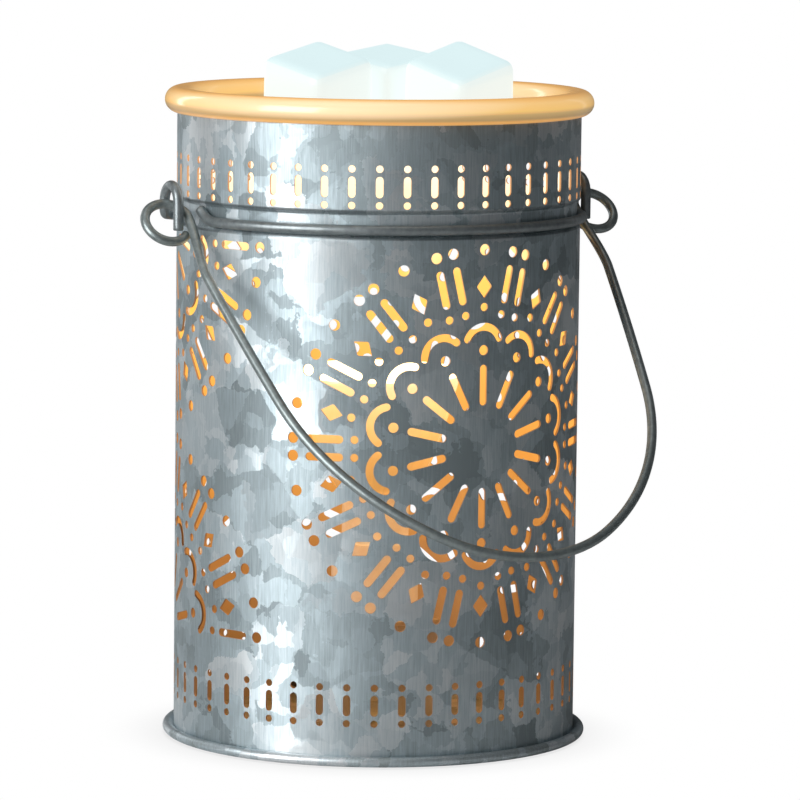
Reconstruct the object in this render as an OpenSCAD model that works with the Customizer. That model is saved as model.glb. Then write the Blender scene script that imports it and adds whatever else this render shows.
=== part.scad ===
// Punched galvanised lantern warmer: a tin cylinder pierced with rosettes
// and border slots, a glass melting dish on its open top, a swinging wire
// bail in two ears, and a reflector bulb standing in the middle.
// Z is up, the lantern stands on z = 0, and the bail turns about the X axis.

/* [Shell] */
// outer radius of the tin shell
shell_r = 60; // [45:0.5:90]
// height of the shell's top edge above the table
shell_top = 186; // [150:1:260]
// sheet thickness of the shell
sheet = 0.6; // [0.4:0.1:1]
// depth of the swaged groove that holds the wire band
groove_d = 1.0; // [0.6:0.1:2]
// height of the groove
groove_h = 7.8; // [5:0.1:14]
// middle of the groove below the shell's top edge
groove_drop = 28.6; // [22:0.1:60]
// width of the lapped seam at the back
seam_w = 6; // [4:0.5:10]

/* [Punched pattern] */
// number of slot-and-dot columns round each border
columns = 47; // [30:1:60]
// length of a border slot
slot_l = 6.2; // [4:0.1:9]
// width of a border slot
slot_w = 2.2; // [1.5:0.1:3.5]
// middle of the upper border below the shell's top edge
top_border = 17.7; // [12:0.1:20]
// middle of the lower border above the table
low_border = 18; // [16:0.5:30]
// height of the front rosette's centre
rosette_z = 92.9; // [80:0.1:140]
// reach of a rosette, centre to its outermost dot
rosette_r = 57.2; // [40:0.1:58]
// distance of the half rosettes' centres above and below the front one's
half_gap = 59.5; // [40:0.5:60]
// spokes in a rosette
spokes = 14; // [8:2:20]
// turn of the front rosette from the bail's own middle plane
rosette_turn = 4.9; // [0:0.1:10]

/* [Base] */
// diameter of the rolled bead round the base pan
bead_d = 3.0; // [2:0.1:5]
// running gap between the shell and the bead
bead_gap = 0.3; // [0.2:0.1:1]
// height of the pan's floor sheet above the table
floor_z = 1.6; // [1.2:0.1:4]
// number of feet, tabs and base screws
feet = 3; // [3:1:4]
// diameter of a foot pad
foot_d = 10; // [6:0.5:14]

/* [Band and ears] */
// diameter of the band wire
band_d = 3.0; // [2:0.1:4]
// radius of an ear loop, measured to the wire's middle
ear_r = 5.0; // [4.6:0.1:7]
// distance of each ear loop from the shell's surface
ear_off = 7.2; // [6.8:0.1:12]
// height of the bail's turning axis above the band wire
ear_rise = 5.0; // [4.5:0.1:8]

/* [Bail] */
// diameter of the bail wire
bail_d = 2.8; // [2:0.1:4]
// reach of the bail from its axis to the middle of its bow
bail_l = 140.4; // [110:0.5:220]
// radius of the bow's middle arc
bow_r = 45.3; // [30:0.1:70]
// half angle of the bow's middle arc
bow_a = 34.8; // [25:0.1:45]
// radius of the shoulder arcs
shoulder_r = 80; // [60:1:140]
// sweep of each shoulder arc
shoulder_a = 46.5; // [30:0.5:55]
// radius of the faintly bent legs
leg_r = 1100; // [600:10:3000]
// angle of the bail from hanging straight down, as it stands at rest
bail_tilt = 48; // [30:1:90]
// radius of each eye, measured to the wire's middle
eye_r = 6.6; // [6:0.1:8]
// distance of each eye's middle from its ear loop
eye_off = 3.2; // [3:0.1:3.3]

/* [Dish and wax] */
// outer radius of the dish's lip
dish_r = 63.7; // [48:0.1:95]
// height of the rounded lip
lip_h = 7.5; // [5:0.1:12]
// thickness of the glass
glass_t = 3.5; // [2.5:0.1:6]
// depth of the bowl from the lip's top to its floor
bowl_d = 15.5; // [10:0.5:26]
// inner radius of the bowl's floor
bowl_floor_r = 45; // [44.5:0.5:47]
// edge length of a wax cube
wax_s = 25; // [18:0.5:26]
// lean of the wax cubes towards the front
wax_lean = 18; // [0:1:20]

/* [Bulb] */
// diameter of the reflector bulb
bulb_d = 50; // [35:1:63]
// height of the bulb's front glass above the table
bulb_top = 110; // [100:1:130]
// height of the lampholder's top face above the table
holder_top = 58; // [50:1:70]
// diameter of the lampholder
holder_d = 26; // [24:0.5:34]
// height of the lampholder
holder_h = 23; // [18:0.5:30]
// spacing of the two bayonet pins
pin_gap = 10; // [9:0.5:11]
// twist of the bayonet between locked and free
twist_a = 20; // [10:1:30]

/* [Hidden] */
wax_turn = -26;
clear = 0.3;
floor_top = floor_z + sheet;
groove_z = shell_top - groove_drop;
groove_r = shell_r - groove_d;
band_r = groove_r + band_d / 2;
band_z = groove_z - groove_h / 2 + band_d / 2 + 1.0;
axis_z = band_z + ear_rise;
ear_x = shell_r + ear_off;
eye_x = ear_x + eye_off;
bead_r = shell_r + bead_gap + bead_d / 2;
bead_z = floor_z + 0.3;
front_a = -90 + rosette_turn;
side_a = [front_a - 120, front_a + 120];
seam_a = front_a + 180;
pitch_a = 360 / columns;
inlet_a = seam_a - pitch_a;
inlet_z = floor_top + 5.5;
inlet_d = 6.4;
k = rosette_r / 57.2;
screw_d = 3.0;
tab_r = shell_r - sheet - 7;
tab_a0 = 30;
bow_c = [0, -(bail_l - bow_r)];
sh_c = bow_c + (bow_r - shoulder_r) * [sin(bow_a), -cos(bow_a)];
leg_a = bow_a + shoulder_a;
leg_c = sh_c + (shoulder_r - leg_r) * [sin(leg_a), -cos(leg_a)];
joint_cut = 0.15;
leg_top = -(2 * eye_r - 0.5);
leg_end = asin((leg_top - leg_c[1]) / leg_r);
bracket_w = 28;
bracket_t = 1.0;
bracket_z = holder_top - holder_h - bracket_t;
hs_y = holder_d / 2 - 3.6;
base_d = 20;
base_h = 14;
lens_t = 2;
refl_z = holder_top + clear + base_h;
refl_top = bulb_top - lens_t;
galv = [0.62, 0.66, 0.70];
wire = [0.42, 0.45, 0.46];
ceramic = [0.93, 0.92, 0.88];
brass = [0.80, 0.66, 0.36];
steel = [0.72, 0.73, 0.74];

// ---- helpers -------------------------------------------------------------

// a straight piece of wire between two points, short of each by cut
module rod(p, q, r, cut_p = joint_cut, cut_q = joint_cut) {
    v = q - p;
    l = norm(v);
    translate(p + v / l * cut_p) rotate([0, acos(v[2] / l), atan2(v[1], v[0])])
        cylinder(h = l - cut_p - cut_q, r = r, $fn = 32);
}

// the knuckle that joins two pieces of wire at point p
module knuckle(p, r, v) {
    translate(p) rotate([0, acos(v[2] / norm(v)), atan2(v[1], v[0])])
        sphere(r = r + 0.06, $fn = 32);
}

// a bent wire in the XY plane: centre, bend radius, start and end angles,
// short of each end by cut
module bend(c, br, a0, a1, r, cut = joint_cut) {
    t = cut / br * 180 / PI;
    translate([c[0], c[1], 0]) rotate([0, 0, a0 + t])
        rotate_extrude(angle = a1 - a0 - 2 * t, $fn = 360)
            translate([br, 0]) circle(r = r, $fn = 32);
}

// puts a flat shape on the wall at angle a and height z, y up, x to the
// right as seen from outside, as a cutter through the sheet
module on_wall(a, z) {
    rotate([0, 0, a]) translate([0, 0, z]) rotate([90, 0, 90])
        translate([0, 0, shell_r - sheet - 2])
            linear_extrude(sheet + 4) children();
}

// a round-ended slot of length l and width w along y
module slot2d(l, w) {
    square([w, l - w], center = true);
    for (s = [-1, 1]) translate([0, s * (l - w) / 2]) circle(d = w, $fn = 24);
}

// one place on a rosette: polar radius r and angle a, flattened onto the
// wall about centre angle wa and height wz; half is +1, -1 or 0 for all
module spot(wa, wz, half, x, y, a) {
    if (half == 0 || half * y > 0)
        on_wall(wa + x / shell_r * 180 / PI, wz + y) rotate(a) children();
}

module rosette(wa, wz, half) {
    for (i = [0 : spokes - 1]) {
        a = 90 + i * 360 / spokes;
        c = cos(a);
        s = sin(a);
        spot(wa, wz, half, 17.95 * k * c, 17.95 * k * s, a - 90)
            slot2d(11.9 * k, 2.35 * k);
        spot(wa, wz, half, 46.5 * k * c, 46.5 * k * s, a - 90)
            polygon(k * [[0, 3.35], [2.6, 0], [0, -3.35], [-2.6, 0]]);
        if (half == 0 || half * s > 0)
            rotate([0, 0, wa + 29.1 * k * c / shell_r * 180 / PI])
                translate([0, 0, wz + 29.1 * k * s]) rotate([90, 0, 90])
                    rotate([0, 0, a - 76])
                        translate([0, 0, shell_r - sheet - 2]) scallop();
        b = a + 180 / spokes;
        for (o = [-2.6 * k, 2.6 * k]) {
            spot(wa, wz, half, 47.45 * k * cos(b) - o * sin(b),
                47.45 * k * sin(b) + o * cos(b), b - 90)
                slot2d(11.3 * k, 2.4 * k);
        }
    }
}

// the curved slot over each spoke
module scallop() {
    h = sheet + 4;
    rotate_extrude(angle = 152, $fn = 72)
        translate([(5.85 - 1.15) * k, 0]) square([2.3 * k, h]);
}

module border(z) {
    for (i = [0 : columns - 1]) {
        on_wall(front_a + i * pitch_a, z) slot2d(slot_l, slot_w);
    }
}

// ---- shell and base ------------------------------------------------------

module shell_profile() {
    g0 = groove_z - groove_h / 2;
    g1 = groove_z + groove_h / 2;
    e = groove_d;
    ri = shell_r - sheet;
    polygon([[ri, floor_top], [shell_r, floor_top], [shell_r, g0],
        [groove_r, g0 + e], [groove_r, g1 - e], [shell_r, g1],
        [shell_r, shell_top], [ri, shell_top], [ri, g1],
        [groove_r - sheet, g1 - e], [groove_r - sheet, g0 + e], [ri, g0]]);
}

module shell() {
    seam_deg = seam_w / shell_r * 180 / PI;
    color(galv) difference() {
        union() {
            rotate_extrude($fn = 180) shell_profile();
            rotate([0, 0, seam_a - seam_deg / 2])
                rotate_extrude(angle = seam_deg, $fn = 180) {
                    translate([shell_r - sheet / 2, bead_z + bead_d])
                        square([sheet, groove_z - groove_h / 2 - bead_z
                            - bead_d - 1]);
                    translate([shell_r - sheet / 2, groove_z + groove_h / 2 + 1])
                        square([sheet, shell_top - groove_z - groove_h / 2 - 2]);
                }
            for (i = [0 : feet - 1]) rotate([0, 0, tab_a0 + i * 360 / feet])
                translate([tab_r - 5, -6, floor_top])
                    cube([shell_r - sheet / 2 - tab_r + 5, 12, sheet]);
        }
        border(shell_top - top_border);
        border(low_border);
        rosette(front_a, rosette_z, 0);
        for (a = side_a) {
            rosette(a, rosette_z - half_gap, 1);
            rosette(a, rosette_z + half_gap, -1);
        }
        on_wall(inlet_a, inlet_z) circle(d = inlet_d, $fn = 32);
        for (i = [0 : feet - 1]) rotate([0, 0, tab_a0 + i * 360 / feet])
            translate([tab_r, 0, floor_top - 1])
                cylinder(h = 3, d = screw_d + 2 * clear, $fn = 32);
    }
}

module base_pan() {
    color(galv) difference() {
        union() {
            translate([0, 0, floor_z]) cylinder(h = sheet, r = bead_r, $fn = 180);
            rotate_extrude($fn = 180) translate([bead_r, bead_z])
                circle(d = bead_d, $fn = 32);
        }
        for (i = [0 : feet - 1]) rotate([0, 0, tab_a0 + i * 360 / feet])
            translate([tab_r, 0, floor_z - 1])
                cylinder(h = 3, d = screw_d + 2 * clear, $fn = 32);
        for (s = [-1, 1]) translate([s * (bracket_w / 2 + 7), 0, floor_z - 1])
            cylinder(h = 3, d = screw_d + 2 * clear, $fn = 32);
    }
}

module foot_pads() {
    color([0.12, 0.12, 0.12]) {
        cylinder(h = floor_z, d = foot_d, $fn = 48);
        for (i = [0 : feet - 1]) rotate([0, 0, tab_a0 + (i + 0.5) * 360 / feet])
            translate([tab_r - 8, 0, 0]) cylinder(h = floor_z, d = foot_d, $fn = 48);
    }
}

module base_screws() {
    color(steel) for (i = [0 : feet - 1])
        rotate([0, 0, tab_a0 + i * 360 / feet]) translate([tab_r, 0, 0]) {
            translate([0, 0, 0.3]) cylinder(h = floor_z - 0.3, d = 6, $fn = 32);
            translate([0, 0, floor_z]) cylinder(h = 6, d = screw_d, $fn = 32);
        }
}

// a hexagon nut of width w across its flats
module nut(w, h, bore) {
    linear_extrude(h) difference() {
        circle(d = w / cos(30), $fn = 6);
        circle(d = bore, $fn = 32);
    }
}

module base_nuts() {
    color(steel) for (i = [0 : feet - 1])
        rotate([0, 0, tab_a0 + i * 360 / feet])
            translate([tab_r, 0, floor_top + sheet]) nut(5.5, 2.4, screw_d + 0.3);
}

// ---- band, ears and bail -------------------------------------------------

module front_band() {
    d = 11;
    r = band_d / 2;
    color(wire) {
        translate([0, 0, band_z]) bend([0, 0], band_r, -180 + d, -d, r);
        for (s = [-1, 1]) {
            a = s > 0 ? -d : -180 + d;
            p = [band_r * cos(a), band_r * sin(a), band_z];
            q = [s * (band_r + 0.1), -ear_r - 0.5, band_z + 3.3];
            knuckle(p, r, q - p);
            rod(p, q, r, cut_q = 0);
        }
    }
}

module rear_band() {
    d = 14;
    r = band_d / 2;
    color(wire) {
        translate([0, 0, band_z]) bend([0, 0], band_r, d, 180 - d, r);
        for (s = [-1, 1]) {
            p = [s * band_r * cos(d), band_r * sin(d), band_z];
            q = [s * ear_x, ear_r, band_z + 1.5];
            knuckle(p, r, [s * sin(d), -cos(d), 0]);
            rod(p, q, r);
            knuckle(q, r, q - p);
            rod(q, [s * ear_x, ear_r, axis_z], r);
            translate([s * ear_x, 0, axis_z]) rotate([90, 0, 90])
                bend([0, 0], ear_r, 0, 180, r);
            for (t = [-1, 1])
                knuckle([s * ear_x, t * ear_r, axis_z], r, [0, 0, 1]);
            rod([s * ear_x, -ear_r, band_z - 2.8],
                [s * ear_x, -ear_r, axis_z], r, cut_p = 0);
        }
    }
}

module bail_handle() {
    r = bail_d / 2;
    color(wire) translate([0, 0, axis_z]) rotate([90 - bail_tilt, 0, 0]) {
        bend(bow_c, bow_r, -90 - bow_a, -90 + bow_a, r);
        for (s = [0, 1]) mirror([s, 0, 0]) {
            bend(sh_c, shoulder_r, -90 + bow_a, -90 + leg_a, r);
            bend(leg_c, leg_r, -90 + leg_a, leg_end, r);
            for (j = [[bow_c, bow_r, bow_a], [sh_c, shoulder_r, leg_a]])
                knuckle([j[0][0] + j[1] * sin(j[2]),
                    j[0][1] - j[1] * cos(j[2]), 0], r, [cos(j[2]), sin(j[2]), 0]);
            translate([eye_x, -eye_r, 0]) rotate_extrude($fn = 96)
                translate([eye_r, 0]) circle(r = r, $fn = 32);
        }
    }
}

// ---- dish and wax --------------------------------------------------------

module glass_dish() {
    lip_z = shell_top + lip_h / 2;
    lip_c = dish_r - lip_h / 2;
    fl = shell_top + lip_h - bowl_d;
    wall_r = shell_r - sheet - 2.4;
    color([0.98, 0.72, 0.36]) rotate_extrude($fn = 180) {
        difference() {
            union() {
                translate([lip_c, lip_z]) circle(d = lip_h, $fn = 48);
                translate([wall_r - 2, shell_top])
                    square([lip_c - wall_r + 2, lip_h - 1.2]);
                polygon([[0, fl - glass_t], [bowl_floor_r, fl - glass_t],
                    [wall_r, fl + 5], [wall_r, shell_top + 1],
                    [wall_r - glass_t, shell_top + 1],
                    [bowl_floor_r, fl], [0, fl]]);
            }
            polygon([[0, fl], [bowl_floor_r, fl], [wall_r - glass_t, fl + 8],
                [wall_r - glass_t + 2, shell_top + lip_h + 1],
                [0, shell_top + lip_h + 1]]);
        }
    }
}

// one moulded cube about its own middle, with more wax below for the slump
module wax_cube() {
    c = 3;
    translate([0, 0, -wax_s / 2 - 10]) linear_extrude(wax_s + 10) {
        square([wax_s - 2 * c, wax_s], center = true);
        square([wax_s, wax_s - 2 * c], center = true);
        for (x = [-1, 1], y = [-1, 1])
            translate([x * (wax_s / 2 - c), y * (wax_s / 2 - c)])
                circle(r = c, $fn = 32);
    }
}

// three cubes that lean forward, each on a base softened level with the bowl
module wax_cubes() {
    fl = shell_top + lip_h - bowl_d;
    color([0.86, 0.96, 0.96]) rotate([0, 0, wax_turn])
        for (p = [[-18.4, 1.9, wax_lean], [23.6, 2.6, wax_lean + 4], [2, 22, 10]])
            difference() {
                translate([p[0], p[1], fl + wax_s / 2])
                    rotate([p[2], 0, 0]) rotate([0, 0, 45]) wax_cube();
                translate([0, 0, fl - 40]) cylinder(h = 40, r = 90);
            }
}

// ---- bulb ----------------------------------------------------------------

// outer curve of the reflector: radius at a share t of its height
function refl_r(t) = base_d / 2 + (bulb_d / 2 - base_d / 2) * pow(t, 0.62);

module bulb_reflector() {
    n = 14;
    h = refl_top - refl_z;
    t = 1.5;
    out = [for (i = [0 : n]) [refl_r(i / n), refl_z + h * i / n]];
    inn = [for (i = [n : -1 : 0]) [refl_r(i / n) - t, refl_z + h * i / n]];
    color([0.80, 0.80, 0.78]) rotate_extrude($fn = 96) polygon(concat(out, inn));
}

module bulb_lens() {
    color([0.95, 0.95, 0.92]) translate([0, 0, refl_top])
        cylinder(h = lens_t, d = bulb_d, $fn = 96);
}

module bulb_capsule() {
    color([1, 0.95, 0.8]) translate([0, 0, refl_z]) rotate_extrude($fn = 48) {
        square([4.5, 16]);
        intersection() {
            translate([0, 16]) circle(r = 4.5, $fn = 48);
            translate([0, 16]) square([5, 5]);
        }
    }
}

module bulb_base() {
    color(ceramic) translate([0, 0, holder_top + clear])
        rotate_extrude($fn = 64) polygon([[0, 0], [base_d / 2 - 1, 0],
            [base_d / 2, 1], [base_d / 2, base_h], [0, base_h]]);
}

module bulb_pins() {
    color(brass) for (s = [-1, 1]) translate([s * pin_gap / 2, 0, 0]) {
        translate([0, 0, holder_top + clear - 4.6])
            cylinder(h = 4.6, d = 3, $fn = 32);
        translate([0, 0, holder_top + clear - 6.8])
            cylinder(h = 2.2, d = 5, $fn = 32);
    }
}

// ---- lampholder and its fixings ------------------------------------------

module lampholder() {
    pr = pin_gap / 2;
    hw = 2.5 + clear;
    pz = holder_top - 8;
    color(ceramic) difference() {
        translate([0, 0, holder_top - holder_h])
            cylinder(h = holder_h, d = holder_d, $fn = 96);
        for (m = [0, 180]) rotate([0, 0, m]) translate([0, 0, pz]) {
            rotate_extrude(angle = twist_a, $fn = 96)
                translate([pr - hw, 0]) square([2 * hw, 9]);
            for (e = [0, twist_a]) rotate([0, 0, e]) translate([pr, 0, 0])
                cylinder(h = 9, r = hw, $fn = 32);
        }
        for (s = [-1, 1]) translate([0, s * hs_y, 0]) {
            translate([0, 0, holder_top - holder_h - 1])
                cylinder(h = holder_h + 2, d = screw_d + 2 * clear, $fn = 32);
            translate([0, 0, holder_top - 4]) cylinder(h = 5, r = 3, $fn = 32);
        }
    }
}

module lampholder_contacts() {
    color(brass) for (s = [-1, 1]) translate([s * pin_gap / 2, 0, holder_top - 8])
        cylinder(h = 1.2, r = 2.2, $fn = 32);
}

module holder_bracket() {
    w = bracket_w / 2;
    t = bracket_t;
    color(steel) difference() {
        translate([0, w / 1.0, 0]) rotate([90, 0, 0]) linear_extrude(bracket_w)
            polygon([[-w - 13, floor_top], [-w, floor_top],
                [-w, bracket_z], [w, bracket_z], [w, floor_top],
                [w + 13, floor_top], [w + 13, floor_top + t],
                [w + t, floor_top + t], [w + t, bracket_z + t],
                [-w - t, bracket_z + t], [-w - t, floor_top + t],
                [-w - 13, floor_top + t]]);
        for (s = [-1, 1]) {
            translate([0, s * hs_y, bracket_z - 1])
                cylinder(h = 3, d = screw_d + 2 * clear, $fn = 32);
            translate([s * (w + 7), 0, floor_top - 1])
                cylinder(h = 3, d = screw_d + 2 * clear, $fn = 32);
        }
    }
}

module holder_screws() {
    color(steel) for (s = [-1, 1]) translate([0, s * hs_y, 0]) {
        translate([0, 0, bracket_z - 3.2])
            cylinder(h = holder_top - 4 - bracket_z + 3.2, d = screw_d, $fn = 32);
        translate([0, 0, holder_top - 4]) cylinder(h = 2.4, d = 5.4, $fn = 32);
    }
}

module holder_nuts() {
    color(steel) for (s = [-1, 1]) translate([0, s * hs_y, bracket_z - 2.4])
        nut(5.5, 2.4, screw_d + 0.3);
}

module bracket_rivets() {
    color(steel) for (s = [-1, 1]) translate([s * (bracket_w / 2 + 7), 0, 0]) {
        translate([0, 0, floor_top + bracket_t]) cylinder(h = 1.2, d = 6, $fn = 32);
        translate([0, 0, floor_z]) cylinder(h = sheet + bracket_t, d = screw_d, $fn = 32);
        translate([0, 0, floor_z - 1]) cylinder(h = 1, d = 5, $fn = 32);
    }
}

module cord_bushing() {
    color([0.10, 0.10, 0.10]) rotate([0, 0, inlet_a]) translate([0, 0, inlet_z])
        rotate([0, 90, 0]) difference() {
            union() {
                translate([0, 0, shell_r - 4])
                    cylinder(h = 5.5, d = inlet_d - 2 * clear, $fn = 48);
                translate([0, 0, shell_r + clear])
                    cylinder(h = 1.8, d = 8, $fn = 48);
                translate([0, 0, shell_r - 4])
                    cylinder(h = 4 - sheet - clear - 0.15, d = 8, $fn = 48);
            }
            translate([0, 0, shell_r - 5]) cylinder(h = 8, d = 4.2, $fn = 32);
        }
}

shell();
base_pan();
foot_pads();
base_screws();
base_nuts();
front_band();
rear_band();
bail_handle();
glass_dish();
wax_cubes();
bulb_reflector();
bulb_lens();
bulb_capsule();
bulb_base();
bulb_pins();
lampholder();
lampholder_contacts();
holder_bracket();
holder_screws();
holder_nuts();
bracket_rivets();
cord_bushing();
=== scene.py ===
"""Looks of a punched tin lantern that warms wax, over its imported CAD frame.

Lengths are millimetres until mesh() scales them to metres. The bail turns
about X, and the lantern is seen from azimuth -26 degrees, so "right" and
"near" below are that view's own directions on the table.
"""
import math

import bpy
import numpy as np
from mathutils import Matrix, Vector
from mathutils.geometry import delaunay_2d_cdt

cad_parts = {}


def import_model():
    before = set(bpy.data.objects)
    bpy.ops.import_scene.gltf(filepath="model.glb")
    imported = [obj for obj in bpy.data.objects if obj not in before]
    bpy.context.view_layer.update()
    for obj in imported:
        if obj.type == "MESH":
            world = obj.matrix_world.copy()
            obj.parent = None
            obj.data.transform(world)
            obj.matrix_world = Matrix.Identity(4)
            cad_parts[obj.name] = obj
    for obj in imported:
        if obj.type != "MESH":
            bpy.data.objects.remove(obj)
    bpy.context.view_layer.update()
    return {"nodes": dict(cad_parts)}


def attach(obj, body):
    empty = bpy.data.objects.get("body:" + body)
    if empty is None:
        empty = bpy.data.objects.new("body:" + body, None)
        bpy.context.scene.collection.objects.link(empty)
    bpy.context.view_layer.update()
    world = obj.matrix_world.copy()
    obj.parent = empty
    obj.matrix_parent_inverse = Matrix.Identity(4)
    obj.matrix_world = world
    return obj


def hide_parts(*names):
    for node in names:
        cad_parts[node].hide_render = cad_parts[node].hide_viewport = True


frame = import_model()

# ---- the same sizes as the construction source, mm and degrees ------------
# shell: outer radius, top edge, sheet thickness, lower edge
R, TOP, SHEET, FLOOR = 60.0, 186.0, 0.6, 2.2
# swaged groove: middle, height, depth
GROOVE_Z, GROOVE_H, GROOVE_D = 157.4, 7.8, 1.0
# rosettes: the front one's angle and height, how far the half ones lie above
# and below it, and spokes in each; the lapped seam lies opposite the front one
FRONT, ROS_Z, HALF_GAP, SPOKES = -85.1, 92.9, 59.5, 14
SEAM = FRONT + 180.0
# borders: columns, the rows' middles, a slot's length and width, and a dot's
# diameter and distance from the slot's middle
COLS, BORDER_ROWS = 47, (TOP - 17.7, 18.0)
BORDER_SLOT, BORDER_DOT, BORDER_DOT_OFF = (6.2, 2.2), 2.15, 5.25
# marks on a spoke's line: ring radius, then length and width, or diameter
SPOKE, SPOKE_DOTS = (17.95, 11.9, 2.35), ((28.1, 3.0), (40.6, 2.45), (57.2, 3.3))
DIAMOND, DIAMOND_TIP = (46.5, 6.7, 4.8), 0.5
SCALLOP_RING, SCALLOP_R, SCALLOP_W, SCALLOP_SWEEP = 29.1, 5.8, 2.3, 134.0
# marks midway between two spokes, in pairs this far apart
PAIR_GAP, PAIR_SLOT, PAIR_DOTS = 5.2, (47.45, 11.3, 2.4), ((38.6, 2.4), (57.0, 3.3))
# cord inlet: height above the shell's lower edge, diameter
INLET_UP, INLET_D = 5.5, 6.4
# rolled bead of the pan: ring radius, wire radius, height; and the pan's sheet
BEAD_RING, BEAD_R, BEAD_Z, PAN_LOW, PAN_TOP = 61.8, 1.5, 1.9, 1.6, 2.2
# band and ears: ring radius, height, wire radius; the ears' place and radius
BAND_R, BAND_Z, BAND_W = 60.5, 156.0, 1.5
AXIS_Z, EAR_X, EAR_R = 161.0, 67.2, 5.0
# bail: wire radius, eyes, tilt, length, and its bow, shoulder and leg arcs
BAIL_W, EYE_X, EYE_R, TILT = 1.4, 70.4, 6.6, 48.0
BAIL_L, BOW_R, BOW_A, SH_R, SH_A, LEG_R = 140.4, 45.3, 34.8, 80.0, 46.5, 1100.0
# dish: lip radius and height, flat floor's radius, wall, and floor height
LIP_R, LIP_H, BOWL_R, GLASS = 63.7, 7.5, 45.0, 3.5
DISH_FLOOR = TOP + LIP_H - 15.5
# wax cubes: edge, turn on the floor, and each one's place and lean
WAX, WAX_TURN = 25.0, -26.0
WAX_PLACES = ((-18.4, 1.9, 18), (23.6, 2.6, 22), (2, 22, 10))
# bulb: rim and neck radius, height of the neck, of the glass and of its face
BULB_R, NECK_R, REFL_Z, LENS_Z, LENS_TOP = 25.0, 10.0, 72.3, 108.0, 110.0

# how close to its axis a turned section starts and ends
HUB = 0.01

AZ = math.radians(-26.0)
RIGHT = np.array([math.cos(AZ), math.sin(AZ), 0.0])
NEAR = np.array([math.sin(AZ), -math.cos(AZ), 0.0])
UP = np.array([0.0, 0.0, 1.0])


# ---- mesh helpers ---------------------------------------------------------

def mesh(name, verts, polys, mats, normals=None, index=None):
    """A mesh object from mm arrays: verts (n, 3), polys a list of (m, k) index
    arrays, one normal per vertex if given, index one material per face."""
    me = bpy.data.meshes.new(name)
    loops = np.concatenate([p.ravel() for p in polys]).astype(np.int32)
    sizes = np.concatenate([np.full(len(p), p.shape[1]) for p in polys])
    starts = np.concatenate([[0], np.cumsum(sizes)[:-1]]).astype(np.int32)
    me.vertices.add(len(verts))
    me.vertices.foreach_set("co", (np.asarray(verts) * 0.001).astype(np.float32).ravel())
    me.loops.add(len(loops))
    me.loops.foreach_set("vertex_index", loops)
    me.polygons.add(len(sizes))
    me.polygons.foreach_set("loop_start", starts)
    me.polygons.foreach_set("use_smooth", np.ones(len(sizes), bool))
    for m in mats:
        me.materials.append(m)
    if index is not None:
        me.polygons.foreach_set("material_index", np.asarray(index, np.int32))
    me.update(calc_edges=True)
    me.validate()
    if normals is not None:
        n = np.asarray(normals, float)
        n = n / np.maximum(np.linalg.norm(n, axis=1, keepdims=True), 1e-9)
        me.normals_split_custom_set_from_vertices(n.tolist())
    o = bpy.data.objects.new(name, me)
    bpy.context.scene.collection.objects.link(o)
    return o


def turn(axis, deg):
    """Rotation matrix about the axis numbered 0 (X) or 2 (Z)."""
    c, s = math.cos(math.radians(deg)), math.sin(math.radians(deg))
    return np.array([[1, 0, 0], [0, c, -s], [0, s, c]] if axis == 0 else
                    [[c, -s, 0], [s, c, 0], [0, 0, 1]])


def dress(o, body, slot, *nodes):
    """o rides on a body and stands for CAD nodes; slot is not used."""
    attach(o, body)
    if nodes:
        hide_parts(*nodes)
    return o


def grid_quads(rows, cols, wrap_rows=False, wrap_cols=False, start=0):
    """Quads of a rows x cols grid of vertices, closed either way if asked."""
    i = np.arange(rows if wrap_rows else rows - 1)
    j = np.arange(cols if wrap_cols else cols - 1)
    i, j = np.meshgrid(i, j, indexing="ij")
    a = i * cols + j
    b = i * cols + (j + 1) % cols
    c = ((i + 1) % rows) * cols + (j + 1) % cols
    d = ((i + 1) % rows) * cols + j
    return start + np.stack([a, b, c, d], -1).reshape(-1, 4)


def lathe(name, prof, mats, n=192, shape=None):
    """Surface of revolution: x = r cos t, y = r sin t, z, with (r, z) run
    along prof, which lists the closed section counter-clockwise. shape may
    move the grid of points, which it gets with the angles t."""
    prof = np.asarray(prof, float)
    t = np.linspace(0, 2 * math.pi, n, endpoint=False)
    r, z = prof[:, 0][None, :], prof[:, 1][None, :]
    v = np.stack([r * np.cos(t)[:, None], r * np.sin(t)[:, None],
                  z + 0 * t[:, None]], -1)
    if shape is not None:
        v = shape(v, t)
    return mesh(name, v.reshape(-1, 3), [grid_quads(n, len(prof), True, True)], mats)


def arc(cx, cy, r, a0, a1, n):
    """n points of a circle's arc, (cx + r cos a, cy + r sin a), degrees."""
    a = np.radians(np.linspace(a0, a1, n))
    return np.stack([cx + r * np.cos(a), cy + r * np.sin(a)], -1)


def rounded(points, rad, n=8):
    """A 3-D polyline whose inner corners become parabolas: for corner b with
    arms of length rad, p(t) = (1-t)^2 a + 2t(1-t) b + t^2 c."""
    p = [np.asarray(q, float) for q in points]
    out = [p[0]]
    for a, b, c in zip(p, p[1:], p[2:]):
        u, w = a - b, c - b
        lu, lw = np.linalg.norm(u), np.linalg.norm(w)
        a1 = b + u / lu * min(rad, lu * 0.5)
        c1 = b + w / lw * min(rad, lw * 0.5)
        for t in np.linspace(0, 1, n):
            out.append((1 - t) ** 2 * a1 + 2 * t * (1 - t) * b + t * t * c1)
    out.append(p[-1])
    return np.array(out)


def resample(path, step):
    """The polyline at even steps of its length, joints kept smooth."""
    def lengths(p):
        """The lengths of the polyline's stretches."""
        return np.linalg.norm(np.diff(p, axis=0), axis=1)

    path = path[np.concatenate([[True], lengths(path) > 1e-6])]
    d = np.concatenate([[0], np.cumsum(lengths(path))])
    t = np.linspace(0, d[-1], max(4, int(d[-1] / step)))
    return np.stack([np.interp(t, d, path[:, k]) for k in range(3)], -1)


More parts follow.
